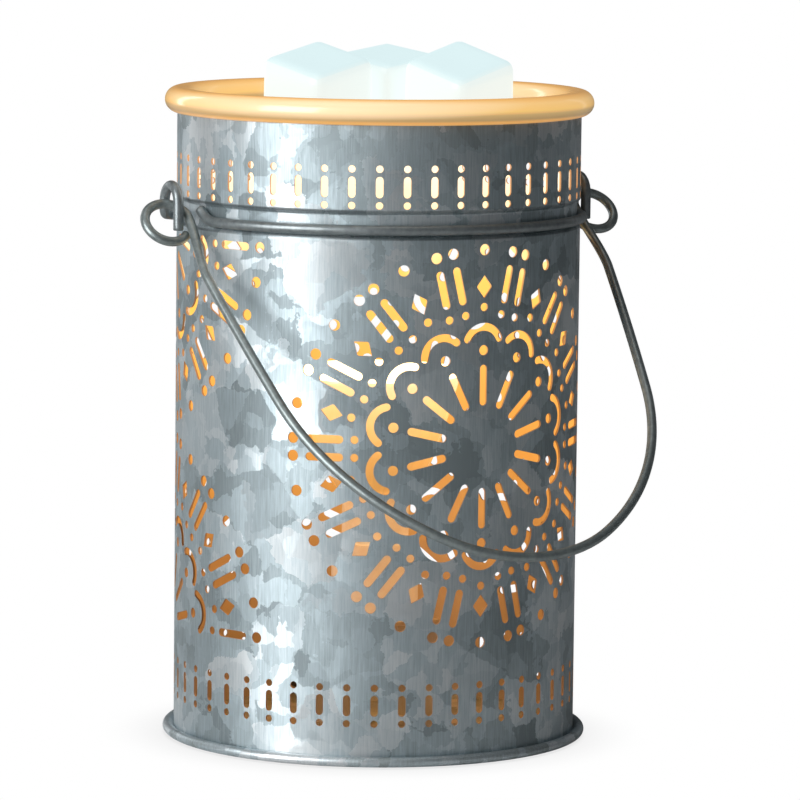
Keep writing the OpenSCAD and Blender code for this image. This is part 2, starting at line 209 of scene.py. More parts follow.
def wire_mesh(name, path, rad, mats, sides=20, step=0.9):
    """A round wire swept along a path: ring k lies at p_k + rad (cos a U_k +
    sin a V_k), where the frame U, V is carried along without twist, and both
    cut ends get a small chamfer."""
    p = resample(np.asarray(path, float), step)
    t = np.gradient(p, axis=0)
    t /= np.linalg.norm(t, axis=1, keepdims=True)
    u = np.cross(t[0], [0.3, 0.5, 0.81])
    us = [u / np.linalg.norm(u)]
    for k in range(1, len(p)):
        u = us[-1] - (us[-1] @ t[k]) * t[k]
        us.append(u / np.linalg.norm(u))
    us = np.array(us)
    vs = np.cross(t, us)
    chamfer, tip = 0.2, (0.05, 0.86)
    rings = [(p[0], us[0], vs[0], rad * f) for f in tip]
    rings.append((p[0] + t[0] * chamfer, us[0], vs[0], rad))
    rings += [(p[k], us[k], vs[k], rad) for k in range(1, len(p) - 1)]
    rings.append((p[-1] - t[-1] * chamfer, us[-1], vs[-1], rad))
    rings += [(p[-1], us[-1], vs[-1], rad * f) for f in tip[::-1]]
    a = np.linspace(0, 2 * math.pi, sides, endpoint=False)
    v = np.concatenate([c + r * (np.cos(a)[:, None] * uu + np.sin(a)[:, None] * vv)
                        for c, uu, vv, r in rings])
    last = (len(rings) - 1) * sides
    q = grid_quads(len(rings), sides, False, True)[:, ::-1]
    caps = [np.arange(sides)[None, :], (last + np.arange(sides))[None, ::-1]]
    return mesh(name, v, [q] + caps, mats)


# ---- material helpers -----------------------------------------------------

def new_mat(name):
    """A new material with its tree and its Principled shader."""
    m = bpy.data.materials.new(name)
    m.use_nodes = True
    return m, m.node_tree, m.node_tree.nodes["Principled BSDF"]


def feed(tree, socket, value):
    """Links a socket to the input, or sets a plain value on it."""
    if isinstance(value, bpy.types.NodeSocket):
        tree.links.new(value, socket)
    else:
        socket.default_value = value


def put(shader, **values):
    """Plain values for a shader's own sockets, named with _ for a space."""
    for k, v in values.items():
        shader.inputs[k.replace("_", " ")].default_value = v


def node(tree, kind, **values):
    """A node with its named inputs fed and its other settings set."""
    n = tree.nodes.new(kind)
    for k, v in values.items():
        key = k.replace("_", " ")
        if key in n.inputs:
            feed(tree, n.inputs[key], v)
        else:
            setattr(n, k, v)
    return n


def calc(tree, operation, *values, vector=False):
    """The result of a Math or Vector Math node over its inputs in order."""
    n = node(tree, "ShaderNodeVectorMath" if vector else "ShaderNodeMath", operation=operation)
    for socket, v in zip(n.inputs, values):
        feed(tree, socket, v)
    return n.outputs["Value" if operation == "DOT_PRODUCT" else 0]


def blend_to(tree, factor, col, goal):
    """A colour taken towards a plain goal colour by a factor."""
    n = node(tree, "ShaderNodeMix", data_type="RGBA")
    tree.links.new(factor, n.inputs[0])
    tree.links.new(col, n.inputs[6])
    n.inputs[7].default_value = (*goal, 1)
    return n.outputs[2]


def ramp(tree, fac, stops):
    """A colour ramp through (place, colour) stops."""
    n = tree.nodes.new("ShaderNodeValToRGB")
    while len(n.color_ramp.elements) < len(stops):
        n.color_ramp.elements.new(0.5)
    for e, (p, c) in zip(n.color_ramp.elements, stops):
        e.position = p
        e.color = (*c, 1)
    tree.links.new(fac, n.inputs["Fac"])
    return n.outputs["Color"]


def own_place(tree):
    """The piece's own coordinates, in metres."""
    return tree.nodes.new("ShaderNodeTexCoord").outputs["Object"]


def height_of(tree, place):
    """The z of a place, in metres."""
    return node(tree, "ShaderNodeSeparateXYZ", Vector=place).outputs["Z"]


def new_group(name, given, made):
    """A node group with its named input and output sockets, from dictionaries
    of their kinds, and those sockets as its inside sees them."""
    g = bpy.data.node_groups.new(name, "ShaderNodeTree")
    for kinds, way in ((given, "INPUT"), (made, "OUTPUT")):
        for label, kind in kinds.items():
            g.interface.new_socket(label, in_out=way, socket_type="NodeSocket" + kind)
    return g, g.nodes.new("NodeGroupInput").outputs, g.nodes.new("NodeGroupOutput").inputs


def place_group(tree, group, **values):
    """A shared group's outputs in a material, with its inputs fed."""
    return node(tree, "ShaderNodeGroup", node_tree=group, **values).outputs


def spangle_group():
    """Galvanised zinc: leaf-shaped crystals are the Voronoi cells of a point
    warped by noise, over finer cells, soft clouds and upright brushing. Tone
    and Height are weighted sums of these, and Tilt is each crystal's slope."""
    g, given, made = new_group("ZincSpangle", {"Vector": "Vector"},
                               {"Tone": "Float", "Height": "Float", "Tilt": "Vector"})
    vec = given["Vector"]
    warp = node(g, "ShaderNodeTexNoise", Vector=vec, Scale=95.0, Detail=4.5, Roughness=0.62)
    warped = calc(g, "MULTIPLY_ADD", warp.outputs["Color"], (0.013,) * 3, vec, vector=True)
    large, small = [node(g, "ShaderNodeTexVoronoi", Vector=warped, Scale=k).outputs["Color"]
                    for k in (62.0, 150.0)]
    tones = [node(g, "ShaderNodeSeparateColor", Color=c).outputs[0] for c in (large, small)]
    stretch = node(g, "ShaderNodeMapping", Vector=vec, Scale=(1.0, 1.0, 0.055))
    brush = node(g, "ShaderNodeTexNoise", Vector=stretch.outputs[0], Scale=2100.0,
                 Detail=3.0, Roughness=0.6).outputs["Fac"]
    cloud = node(g, "ShaderNodeTexNoise", Vector=vec, Scale=30.0, Detail=5.0,
                 Roughness=0.6).outputs["Fac"]

    def weigh(*parts):
        """The sum of k times socket over its (socket, k) pairs."""
        total = 0.0
        for socket, k in parts:
            total = calc(g, "MULTIPLY_ADD", socket, k, total)
        return total

    slope = calc(g, "MULTIPLY_ADD", small, (0.5,) * 3, large, vector=True)
    g.links.new(weigh((tones[0], 0.38), (tones[1], 0.24), (cloud, 0.30), (brush, 0.42)),
                made["Tone"])
    g.links.new(weigh((tones[0], 0.5), (brush, 0.5)), made["Height"])
    g.links.new(calc(g, "SUBTRACT", slope, (0.75,) * 3, vector=True), made["Tilt"])
    return g


def mottle_group():
    """Fine unevenness of a finish: fractal noise, whose scale, detail and
    roughness each finish sets for itself."""
    kinds = {"Vector": "Vector", "Scale": "Float", "Detail": "Float", "Roughness": "Float"}
    g, given, made = new_group("Mottle", kinds, {"Fac": "Float"})
    n = node(g, "ShaderNodeTexNoise", **{k: given[k] for k in kinds})
    g.links.new(n.outputs["Fac"], made["Fac"])
    return g


def glow_group():
    """Where a point lies in the lit inside: (z - Low) / (High - Low), kept in
    0 to 1, and then broken up by noise of +-0.08."""
    g, given, made = new_group("GlowLevel", {"Vector": "Vector", "Low": "Float",
                                             "High": "Float"}, {"Level": "Float"})
    rise = node(g, "ShaderNodeMapRange", Value=height_of(g, given["Vector"]),
                From_Min=given["Low"], From_Max=given["High"])
    patches = node(g, "ShaderNodeTexNoise", Vector=given["Vector"], Scale=70.0, Detail=3.0)
    level = calc(g, "MULTIPLY_ADD", patches.outputs["Fac"], 0.16, rise.outputs[0])
    g.links.new(calc(g, "SUBTRACT", level, 0.08), made["Level"])
    return g


SPANGLE, MOTTLE, GLOW = spangle_group(), mottle_group(), glow_group()


def groove_crease_painted_shade(t, height, col):
    """Painted shade in the swaged groove's two creases: the distance | |z - zg| - H/2 |
    from a crease fades the dark line out between 0.22 and 0.5 mm."""
    off = calc(t, "ABSOLUTE", calc(t, "SUBTRACT", height, GROOVE_Z * 0.001))
    off = calc(t, "ABSOLUTE", calc(t, "SUBTRACT", off, (GROOVE_H / 2 + 0.05) * 0.001))
    line = node(t, "ShaderNodeMapRange", Value=off, From_Min=0.00022, From_Max=0.0005,
                To_Min=0.5, To_Max=0.0)
    return blend_to(t, line.outputs[0], col, (0.05, 0.06, 0.065))


def galvanised(name, dark, light, bump, tilt=0.15, lines=False):
    """Zinc-coated sheet: the crystals' tone colours it, and each crystal's own
    slope N + k tilt sends the softboxes' light a little aside. With lines, painted
    shade darkens the swaged groove's two creases."""
    m, t, b = new_mat(name)
    co = own_place(t)
    zinc = place_group(t, SPANGLE, Vector=co)
    mid = tuple((a + c) / 2 * f for a, c, f in zip(dark, light, (0.90, 0.97, 1.0)))
    col = ramp(t, zinc["Tone"], [(0.42, dark), (0.66, mid), (0.94, light)])
    if lines:
        # painted shade: dark lines along the groove's two creases
        col = groove_crease_painted_shade(t, height_of(t, co), col)
    t.links.new(col, b.inputs["Base Color"])
    rough = ramp(t, zinc["Tone"], [(0.2, (0.56,) * 3), (0.85, (0.42,) * 3)])
    t.links.new(rough, b.inputs["Roughness"])
    put(b, Metallic=0.85)
    flat = t.nodes.new("ShaderNodeNewGeometry").outputs["Normal"]
    lean = calc(t, "MULTIPLY_ADD", zinc["Tilt"], (tilt,) * 3, flat, vector=True)
    bp = node(t, "ShaderNodeBump", Strength=bump, Distance=0.0006, Height=zinc["Height"],
              Normal=calc(t, "NORMALIZE", lean, vector=True))
    t.links.new(bp.outputs["Normal"], b.inputs["Normal"])
    return m


def plain(name, color, metallic=0.0, rough=0.5, emit=(1, 1, 1), strength=0.0):
    """A plain finish with a little mottling in its colour, and a glow set by emit
    and strength: the lamp's own light on the bulb's front and capsule, painted
    light from the bulb on the ceramic and the zinc plate.
    """
    m, t, b = new_mat(name)
    fac = place_group(t, MOTTLE, Vector=own_place(t), Scale=260.0, Detail=4.0,
                      Roughness=0.6)["Fac"]
    low = tuple(c * 0.86 for c in color)
    high = tuple(min(1.0, c * 1.08) for c in color)
    t.links.new(ramp(t, fac, [(0.3, low), (0.7, high)]), b.inputs["Base Color"])
    put(b, Metallic=metallic, Roughness=rough, Emission_Color=(*emit, 1),
        Emission_Strength=strength)
    return m


def glow_by_height(name, base, stops, strength, z0, z1, metallic=0.3, rough=0.55):
    """A surface that glows by its own emission, which follows the height z through a
    colour ramp between z0 and z1 (mm): painted light from the bulb on the shell's
    inside and its holes' edges, the lamp's own light on the bulb's bowl."""
    m, t, b = new_mat(name)
    level = place_group(t, GLOW, Vector=own_place(t), Low=z0 * 0.001,
                        High=z1 * 0.001)["Level"]
    t.links.new(ramp(t, level, stops), b.inputs["Emission Color"])
    put(b, Emission_Strength=strength, Base_Color=(*base, 1), Metallic=metallic,
        Roughness=rough)
    return m


# the shell's sheet, with painted shade in its groove's creases
tin = galvanised("galvanised_tin", (0.29, 0.345, 0.365), (0.74, 0.79, 0.81), 0.10, lines=True)
tin_pan = galvanised("galvanised_pan", (0.38, 0.43, 0.44), (0.84, 0.87, 0.89), 0.05)
# the shell's inside and its holes' edges: painted light from the bulb, an emission graded by
# height over warm brown bases
tin_in_painted_light = glow_by_height("tin_inside_painted_light", (0.30, 0.22, 0.14),
                        [(0.0, (0.07, 0.035, 0.012)), (0.22, (0.24, 0.095, 0.022)),
                         (0.50, (0.66, 0.28, 0.045)), (0.71, (0.80, 0.45, 0.08)),
                         (0.81, (1.0, 0.78, 0.46)), (0.89, (1.0, 0.88, 0.66)),
                         (0.96, (0.88, 0.50, 0.16))],
                        1.3, 5, TOP)
tin_edge_painted_light = glow_by_height("tin_edges_painted_light", (0.35, 0.24, 0.14),
                          [(0.0, (0.12, 0.06, 0.03)), (0.5, (0.45, 0.16, 0.03)),
                           (1.0, (0.9, 0.5, 0.25))], 0.5, 5, TOP, 0.6, 0.5)


# ---- the punched shell ----------------------------------------------------

def slot_loop(x, y, ang, length, width, n=7):
    """A round-ended slot about (x, y) whose length lies at ang degrees: two
    half circles of n points each, half a length apart from the middle."""
    h = (length - width) / 2
    a = np.concatenate([np.linspace(-90, 90, n), np.linspace(90, 270, n)])
    px = np.where(np.arange(2 * n) < n, h, -h) + width / 2 * np.cos(np.radians(a))
    py = width / 2 * np.sin(np.radians(a))
    c, s = math.cos(math.radians(ang)), math.sin(math.radians(ang))
    return np.stack([x + c * px - s * py, y + s * px + c * py], -1)


def dot_loop(x, y, d, n=14):
    """A round hole of n points about (x, y)."""
    return arc(x, y, d / 2, 0, 360 * (n - 1) / n, n)


def scallop_loop(x, y, ang, n=13):
    """A curved, round-ended slot: the band SCALLOP_R +- W / 2 over a sweep
    centred on ang, closed by a half circle of diameter W at each end."""
    r, w = SCALLOP_R, SCALLOP_W
    a0, a1 = ang - SCALLOP_SWEEP / 2, ang + SCALLOP_SWEEP / 2

    def end(a, turned):
        """The half circle at the slot's end that lies at the angle a."""
        c = math.radians(a)
        return arc(x + r * math.cos(c), y + r * math.sin(c), w / 2, a + turned,
                   a + turned + 180, 6)[1:-1]

    return np.concatenate([arc(x, y, r + w / 2, a0, a1, n), end(a1, 0),
                           arc(x, y, r - w / 2, a1, a0, n - 3), end(a0, 180)])


def diamond_loop(x, y, c, s):
    """A diamond about (x, y) with blunt side corners, its length along the
    direction (c, s)."""
    _, length, width = DIAMOND
    tip = DIAMOND_TIP / 2
    t = np.array([[length / 2, 0], [tip, width / 2], [-tip, width / 2],
                  [-length / 2, 0], [-tip, -width / 2], [tip, -width / 2]])
    return np.stack([x + t[:, 0] * c - t[:, 1] * s, y + t[:, 0] * s + t[:, 1] * c], -1)


def rosette_loops(cx, cz, half):
    """All marks of one rosette about (cx, cz) on the flattened sheet: those on
    a spoke's line at (r cos a, r sin a), and the pairs midway between two
    spokes. half is 0 for the whole, or 1 or -1 for its upper or lower half."""
    out = []

    def keep(y):
        """Whether a mark at the height y is in this half."""
        return half == 0 or half * y > 0

    for i in range(SPOKES):
        a = 90 + i * 360 / SPOKES
        c, s = math.cos(math.radians(a)), math.sin(math.radians(a))
        if keep(s):
            r, length, width = SPOKE
            out.append(slot_loop(cx + r * c, cz + r * s, a, length, width))
            out += [dot_loop(cx + r * c, cz + r * s, d) for r, d in SPOKE_DOTS]
            r = DIAMOND[0]
            out.append(diamond_loop(cx + r * c, cz + r * s, c, s))
            out.append(scallop_loop(cx + SCALLOP_RING * c, cz + SCALLOP_RING * s, a))
        b = a + 180 / SPOKES
        c, s = math.cos(math.radians(b)), math.sin(math.radians(b))
        for o in (-PAIR_GAP / 2, PAIR_GAP / 2):
            for r, *size in sorted((PAIR_SLOT,) + PAIR_DOTS):
                x, y = r * c - o * s, r * s + o * c
                if keep(y):
                    out.append(slot_loop(cx + x, cz + y, b, *size) if len(size) == 2
                               else dot_loop(cx + x, cz + y, *size))
    return out


def all_loops():
    """Every punched hole on the sheet flattened to (arc length from the seam,
    height), with the seam at 0 and again at the full girth."""
    def x_of(angle):
        """Arc length from the seam to an angle, degrees."""
        return ((angle - SEAM) % 360) * (math.pi / 180 * R)

    loops = []
    for z in BORDER_ROWS:
        for i in range(COLS):
            x = x_of(FRONT + i * 360 / COLS)
            loops.append(slot_loop(x, z, 90, *BORDER_SLOT))
            loops += [dot_loop(x, z + s * BORDER_DOT_OFF, BORDER_DOT) for s in (-1, 1)]
    loops += rosette_loops(x_of(FRONT), ROS_Z, 0)
    for side in (-120, 120):
        for half in (1, -1):
            loops += rosette_loops(x_of(FRONT + side), ROS_Z - half * HALF_GAP, half)
    loops.append(dot_loop(x_of(SEAM - 360 / COLS), FLOOR + INLET_UP, INLET_D, 28))
    return loops


def smooth01(x):
    """The ease 3 x^2 - 2 x^3 between 0 and 1, flat beyond them."""
    x = np.clip(x, 0, 1)
    return x * x * (3 - 2 * x)


def wall_radius(x, z):
    """Outer radius of the sheet: R, less a groove with sloped shoulders
    d(z) = D smooth((H/2 - |z - zg|) / 1.3), plus the lapped seam's step."""
    off = np.abs(z - GROOVE_Z)
    d = GROOVE_D * smooth01((GROOVE_H / 2 + 0.15 - off) / 1.3)
    near = np.minimum(x, 2 * math.pi * R - x)
    lap = 0.28 * smooth01((3.0 - near) / 0.5) * (off > GROOVE_H / 2 + 1)
    return R - d + lap * (z > 5.2) * (z < TOP - 1)


def single(points):
    """Points rounded to the single precision that the triangulation keeps."""
    return points.astype(np.float32).astype(float)


def clear_of(grid, loops, gap=0.45, reach=9.5):
    """Which grid points lie outside every loop and at least gap from it: the
    distance is to the nearest point of each edge, a + t (b - a) with t kept
    in 0 to 1, and inside means an odd number of edges to the right."""
    ok = np.ones(len(grid), bool)
    for lp in loops:
        near = np.where(np.linalg.norm(grid - lp.mean(0), axis=1) < reach)[0]
        if len(near) == 0:
            continue
        g = grid[near]
        a, b = lp, np.roll(lp, -1, axis=0)
        ab = b - a
        t = np.clip(((g[:, None] - a) * ab).sum(-1) / (ab ** 2).sum(-1), 0, 1)
        dist = np.linalg.norm(g[:, None] - a - t[..., None] * ab, axis=-1).min(1)
        cross = (a[:, 1] > g[:, None, 1]) != (b[:, 1] > g[:, None, 1])
        rise = np.where(ab[:, 1] == 0, 1e-9, ab[:, 1])
        hit = a[:, 0] + (g[:, None, 1] - a[:, 1]) / rise * ab[:, 0]
        inside = (cross & (g[:, None, 0] < hit)).sum(1) % 2 == 1
        ok[near[inside | (dist < gap)]] = False
    return ok


def cut_sheet(loops, xs, zs):
    """The flat sheet over the grid lines xs and zs with its holes cut out: a
    constrained Delaunay triangulation, its triangles all turned one way."""
    grid = np.stack([g.ravel() for g in np.meshgrid(xs[1:-1], zs[1:-1])], -1)
    grid = grid[clear_of(grid, loops)]
    left, right = [np.stack([np.full(len(zs), x), zs], -1) for x in (xs[0], xs[-1])]
    low, high = [np.stack([xs[1:-1], np.full(len(xs) - 2, z)], -1) for z in (zs[0], zs[-1])]
    rim = single(np.concatenate([low, right, high[::-1], left[::-1]]))
    starts = np.concatenate([[0], np.cumsum([len(lp) for lp in loops])]) + len(rim)
    edges = [(i, (i + 1) % len(rim)) for i in range(len(rim))]
    holes = [list(range(a, b)) for a, b in zip(starts, starts[1:])]
    points = [Vector(p) for p in np.concatenate([rim] + loops + [grid])]
    res = delaunay_2d_cdt(points, edges, holes, 1, 1e-5, True)
    flat = np.array([tuple(v) for v in res[0]])
    tri = np.array([f for f, hole in zip(res[2], res[5]) if not hole and len(f) == 3])
    p, q, r = flat[tri[:, 0]], flat[tri[:, 1]], flat[tri[:, 2]]
    area = (q[:, 0] - p[:, 0]) * (r[:, 1] - p[:, 1]) - (q[:, 1] - p[:, 1]) * (r[:, 0] - p[:, 0])
    tri = np.where((area < 0)[:, None], tri[:, ::-1], tri)
    return flat, tri[np.abs(area) > 1e-7]


def wrap(xz, inner):
    """The sheet rolled up, (x, z) -> (r cos a, r sin a, z) with a = seam +
    x / R, on its outer skin (inner 0) or its inner one (1), with normals
    (cos a, sin a, -dr/dz) that point out of the metal."""
    x, z = xz[:, 0], xz[:, 1]
    r = wall_radius(x, z) - inner * SHEET
    a = math.radians(SEAM) + x / R
    e = 0.05
    slope = (wall_radius(x, z + e) - wall_radius(x, z - e)) / (2 * e)
    v = np.stack([r * np.cos(a), r * np.sin(a), z], -1)
    n = np.stack([np.cos(a), np.sin(a), -slope], -1)
    return v, n * (-1 if inner else 1)


def punched_shell():
    """The pierced cylinder: the cut sheet wrapped as an outer and an inner
    skin, joined by the walls of the holes and of the two edges. A wall's
    normal is its edge direction crossed with the skin's normal."""
    loops = [single(lp) for lp in all_loops()]
    # grid lines: 144 columns, and rows about 3 mm apart, finer at the groove
    xs = np.linspace(0, 2 * math.pi * R, 145)
    zs = np.unique(np.concatenate([
        np.arange(FLOOR, 150, 3.2), [TOP],
        np.linspace(GROOVE_Z - 5.2, GROOVE_Z + 5.2, 17), np.arange(163.2, TOP, 3.1)]))
    flat, tri = cut_sheet(loops, xs, zs)
    n = len(flat)
    (v0, n0), (v1, n1) = wrap(flat, 0), wrap(flat, 1)
    verts, norms, walls = [v0, v1], [n0, n1], []
    start = 2 * n
    low, high = [single(np.stack([xs[:-1], np.full(len(xs) - 1, z)], -1))
                 for z in (zs[0], zs[-1])]
    for j, lp in enumerate(loops + [low, high[::-1]]):
        (o, on), (i, _) = wrap(lp, 0), wrap(lp, 1)
        wn = np.cross(np.roll(o, -1, axis=0) - np.roll(o, 1, axis=0), on)
        if j < len(loops):
            wn *= np.sign((wn * (o.mean(0) - o)).sum(1, keepdims=True))
        verts += [o, i]
        norms += [wn, wn]
        m = len(lp)
        k = np.arange(m)
        walls.append(start + np.stack([k, (k + 1) % m, m + (k + 1) % m, m + k], -1))
        start += 2 * m
    walls = np.concatenate(walls)
    index = np.repeat([0, 1, 2], [len(tri), len(tri), len(walls)])
    # the inner skin and the hole walls take the painted light from the bulb
    o = mesh("tin_shell", np.concatenate(verts), [tri, tri[:, ::-1] + n, walls],
             [tin, tin_in_painted_light, tin_edge_painted_light], np.concatenate(norms), index)
    return dress(o, "lantern", "galvanised", "shell")


punched_shell()


# ---- base pan -------------------------------------------------------------

def pan_profile():
    """Half section of the pan: a flat sheet whose edge rolls into a bead."""
    flat = np.array([HUB, 30, 58])
    low = np.stack([flat, np.full(3, PAN_LOW)], -1)
    high = np.stack([[BEAD_RING - 2, 30, HUB], np.full(3, PAN_TOP)], -1)
    return np.concatenate([low, arc(BEAD_RING, BEAD_Z, BEAD_R, -120, 150, 26), high])


dress(lathe("pan", pan_profile(), [tin_pan]), "lantern", "galvanised", "base_pan")


# ---- wires ----------------------------------------------------------------

def wire_mat(name, dark, light):
    """Dull galvanised wire: a mottled grey skin, faintly uneven."""
    m, t, b = new_mat(name)
    fac = place_group(t, MOTTLE, Vector=own_place(t), Scale=420.0, Detail=5.0,
                      Roughness=0.65)["Fac"]
    t.links.new(ramp(t, fac, [(0.3, dark), (0.72, light)]), b.inputs["Base Color"])
    put(b, Metallic=0.75, Roughness=0.40)
    bp = node(t, "ShaderNodeBump", Strength=0.05, Distance=0.0003, Height=fac)
    t.links.new(bp.outputs["Normal"], b.inputs["Normal"])
    return m


band_mat = wire_mat("band_wire", (0.21, 0.24, 0.25), (0.35, 0.39, 0.40))
bail_mat = wire_mat("bail_wire", (0.23, 0.27, 0.27), (0.38, 0.43, 0.43))


def ring_pt(a, z=BAND_Z, r=BAND_R):
    """A point of the band's ring at the angle a, degrees."""
    return np.array([r * math.cos(math.radians(a)), r * math.sin(math.radians(a)), z])


def front_band():
    """The front half of the band: an arc in the groove whose two ends lift."""
    mid = [ring_pt(a) for a in np.linspace(-169, -11, 90)]
    a, b = ring_pt(-172.2, BAND_Z + 0.9), ring_pt(-175.0, BAND_Z + 3.3, BAND_R + 0.2)
    c, d = ring_pt(-7.8, BAND_Z + 0.9), ring_pt(-5.0, BAND_Z + 3.3, BAND_R + 0.2)
    path = rounded([b, a] + mid + [c, d], 1.6, 5)
    dress(wire_mesh("band_front", path, BAND_W, [band_mat]), "lantern", "wire", "front_band")


def rear_band():
    """The rear half: an arc round the back; each end swings out, climbs, and
    loops over as an ear of radius EAR_R whose front leg is cut off short."""
    def ear(s):
        """The ear at the side s: up at the back, over, and down in front."""
        top = [np.array([s * EAR_X, EAR_R * math.cos(t), AXIS_Z + EAR_R * math.sin(t)])
               for t in np.linspace(0, math.pi, 25)]
        return [np.array([s * EAR_X, EAR_R, BAND_Z + 1.3])] + top + [
            np.array([s * EAR_X, -EAR_R, BAND_Z - 2.8])]

    mid = [ring_pt(a) for a in np.linspace(14, 166, 90)]
    path = rounded(ear(1)[::-1] + mid + ear(-1), 1.7, 5)
    dress(wire_mesh("band_rear", path, BAND_W, [band_mat]), "lantern", "wire", "rear_band")


def bail():
    """The bail in its own plane (u across, w down from the axis): a bow, two
    shoulders and two faintly bent legs, all arcs, then a neck that is a cubic
    curve, and an eye of radius EYE_R, which curls once round while it shifts
    sideways by about the wire's thickness."""
    def heading(deg):
        """Outward from an arc's middle, deg round from straight down."""
        return np.array([math.sin(math.radians(deg)), -math.cos(math.radians(deg))])

    shoulder_end = BOW_A + SH_A
    bow_c = np.array([0.0, BOW_R - BAIL_L])
    shoulder_c = bow_c + (BOW_R - SH_R) * heading(BOW_A)
    leg_c = shoulder_c + (SH_R - LEG_R) * heading(shoulder_end)
    neck_w, lap = -30.0, -2.75
    leg_end = math.degrees(math.asin((neck_w - leg_c[1]) / LEG_R))
    half = np.concatenate([arc(*bow_c, BOW_R, -90, -90 + BOW_A, 30),
                           arc(*shoulder_c, SH_R, -90 + BOW_A, -90 + shoulder_end, 44)[1:],
                           arc(*leg_c, LEG_R, -90 + shoulder_end, leg_end, 30)[1:]])
    p0, p3 = half[-1], np.array([EYE_X - EYE_R + 0.1, -EYE_R - 1.5])
    p1, p2 = p0 + [0.25, 8.0], p3 - [0.0, 6.5]
    t = np.linspace(0, 1, 24)[1:, None]
    neck = (1 - t) ** 3 * p0 + 3 * t * (1 - t) ** 2 * p1 + 3 * t * t * (1 - t) * p2 + t ** 3 * p3
    a = np.linspace(180, -146, 60)[1:]
    curl = arc(EYE_X, -EYE_R, EYE_R, a[0], a[-1], len(a))
    ease = smooth01((180 - a) / 326)
    flat = np.concatenate([half, neck, curl])
    shift = np.concatenate([np.zeros(len(half) + len(neck)), lap * ease])
    k = math.radians(TILT)
    down = np.array([0, -math.sin(k), -math.cos(k)])
    out = np.array([0, -math.cos(k), math.sin(k)])

    def place(s):
        """The side s of the path, tilted with the bail about its axis."""
        return (s * flat[:, :1] * np.array([1.0, 0, 0]) - flat[:, 1:] * down
                + shift[:, None] * out + [0, 0, AXIS_Z])

    path = np.concatenate([place(-1)[::-1], place(1)[1:]])
    dress(wire_mesh("bail_wire", path, BAIL_W, [bail_mat], 22, 0.8), "bail", "wire",
          "bail_handle")


front_band()
rear_band()
bail()


# ---- dish and wax ---------------------------------------------------------

def dish_mat():
    """Frosted glass whose light from below is painted as its own glow: the glow
    runs through ambers by height, with a darker band painted low on the lip as a
    reflection, and a painted highlight, paler where the lip faces near, a little
    left and up."""
    m, t, b = new_mat("dish_glass")
    level = node(t, "ShaderNodeMapRange", Value=height_of(t, own_place(t)),
                 From_Min=(TOP - 0.5) * 0.001, From_Max=(TOP + LIP_H + 0.3) * 0.001)
    # painted glow of the light from below; the darker stops at 0.24 to 0.40 are a painted
    # reflection low on the lip
    glow = ramp(t, level.outputs[0],
                [(0.0, (0.60, 0.24, 0.04)), (0.14, (0.86, 0.42, 0.10)),
                 (0.24, (0.37, 0.24, 0.10)), (0.40, (0.53, 0.36, 0.15)),
                 (0.52, (0.98, 0.60, 0.19)), (0.78, (0.98, 0.62, 0.24)),
                 (1.0, (0.90, 0.44, 0.10))])
    # painted highlight: paler where the lip faces near, a little left and up
    painted_highlight_facing = calc(t, "DOT_PRODUCT", t.nodes.new("ShaderNodeNewGeometry").outputs["Normal"],
                  tuple(NEAR * 0.9 - RIGHT * 0.28 + UP * 0.32), vector=True)
    pale = node(t, "ShaderNodeMapRange", Value=painted_highlight_facing, From_Min=0.55, From_Max=1.0, To_Max=0.8)
    t.links.new(blend_to(t, pale.outputs[0], glow, (1.0, 0.86, 0.62)),
                b.inputs["Emission Color"])
    put(b, Base_Color=(0.36, 0.21, 0.08, 1), Emission_Strength=0.88, Roughness=0.32,
        Subsurface_Weight=0.15, Subsurface_Radius=(1.0, 0.5, 0.2), Subsurface_Scale=0.004,
        Coat_Weight=0.7, Coat_Roughness=0.12)
    return m


def dish_profile():
    """Half section of the dish: a fully rounded lip, a sloped bowl wall and a
    flat floor with a soft corner."""
    c, h = LIP_R - LIP_H / 2, LIP_H / 2
    wall = R - SHEET - 2.4
    fl, lip = DISH_FLOOR, TOP + LIP_H
    return np.concatenate([
        [[HUB, fl - GLASS], [30, fl - GLASS], [BOWL_R, fl - GLASS + 0.02]],
        arc(BOWL_R + 0.5, fl - GLASS + 3.0, 2.98, -86, -40, 6),
        [[wall - 0.9, fl + 3.4], [wall - 0.1, fl + 5.2]],
        [[wall, TOP - 0.1], [wall + 0.3, TOP + 0.02]],
        arc(c, TOP + h, h, -88, 96, 34),
        [[wall, lip - 0.22], [wall - 1.0, lip - 0.9], [wall - 1.9, lip - 2.6]],
        [[wall - GLASS, fl + 8.5], [wall - GLASS - 1.2, fl + 5.6]],
        [[BOWL_R + 2.6, fl + 1.3], [BOWL_R + 0.8, fl + 0.25], [BOWL_R - 1.5, fl + 0.02]],
        [[30, fl], [HUB, fl]]])


dress(lathe("melting_dish", dish_profile(), [dish_mat()], 224), "dish", "dish_glass",
      "glass_dish")


def wax_mat():
    """Pale aqua wax lit by a painted glow over a dark base: the glow is painted
    darker and more aqua on what faces up, whiter on the sides.
    """
    m, t, b = new_mat("wax")
    normal = t.nodes.new("ShaderNodeNewGeometry").outputs["Normal"]
    up = node(t, "ShaderNodeSeparateXYZ", Vector=normal).outputs["Z"]
    # painted shading: the emission is darker on faces that point up than on the sides
    col = ramp(t, up, [(0.30, (0.88, 0.97, 0.95)), (0.80, (0.74, 0.91, 0.93))])
    t.links.new(col, b.inputs["Emission Color"])
    put(b, Base_Color=(0.14, 0.17, 0.17, 1), Emission_Strength=0.88, Roughness=0.42)
    return m


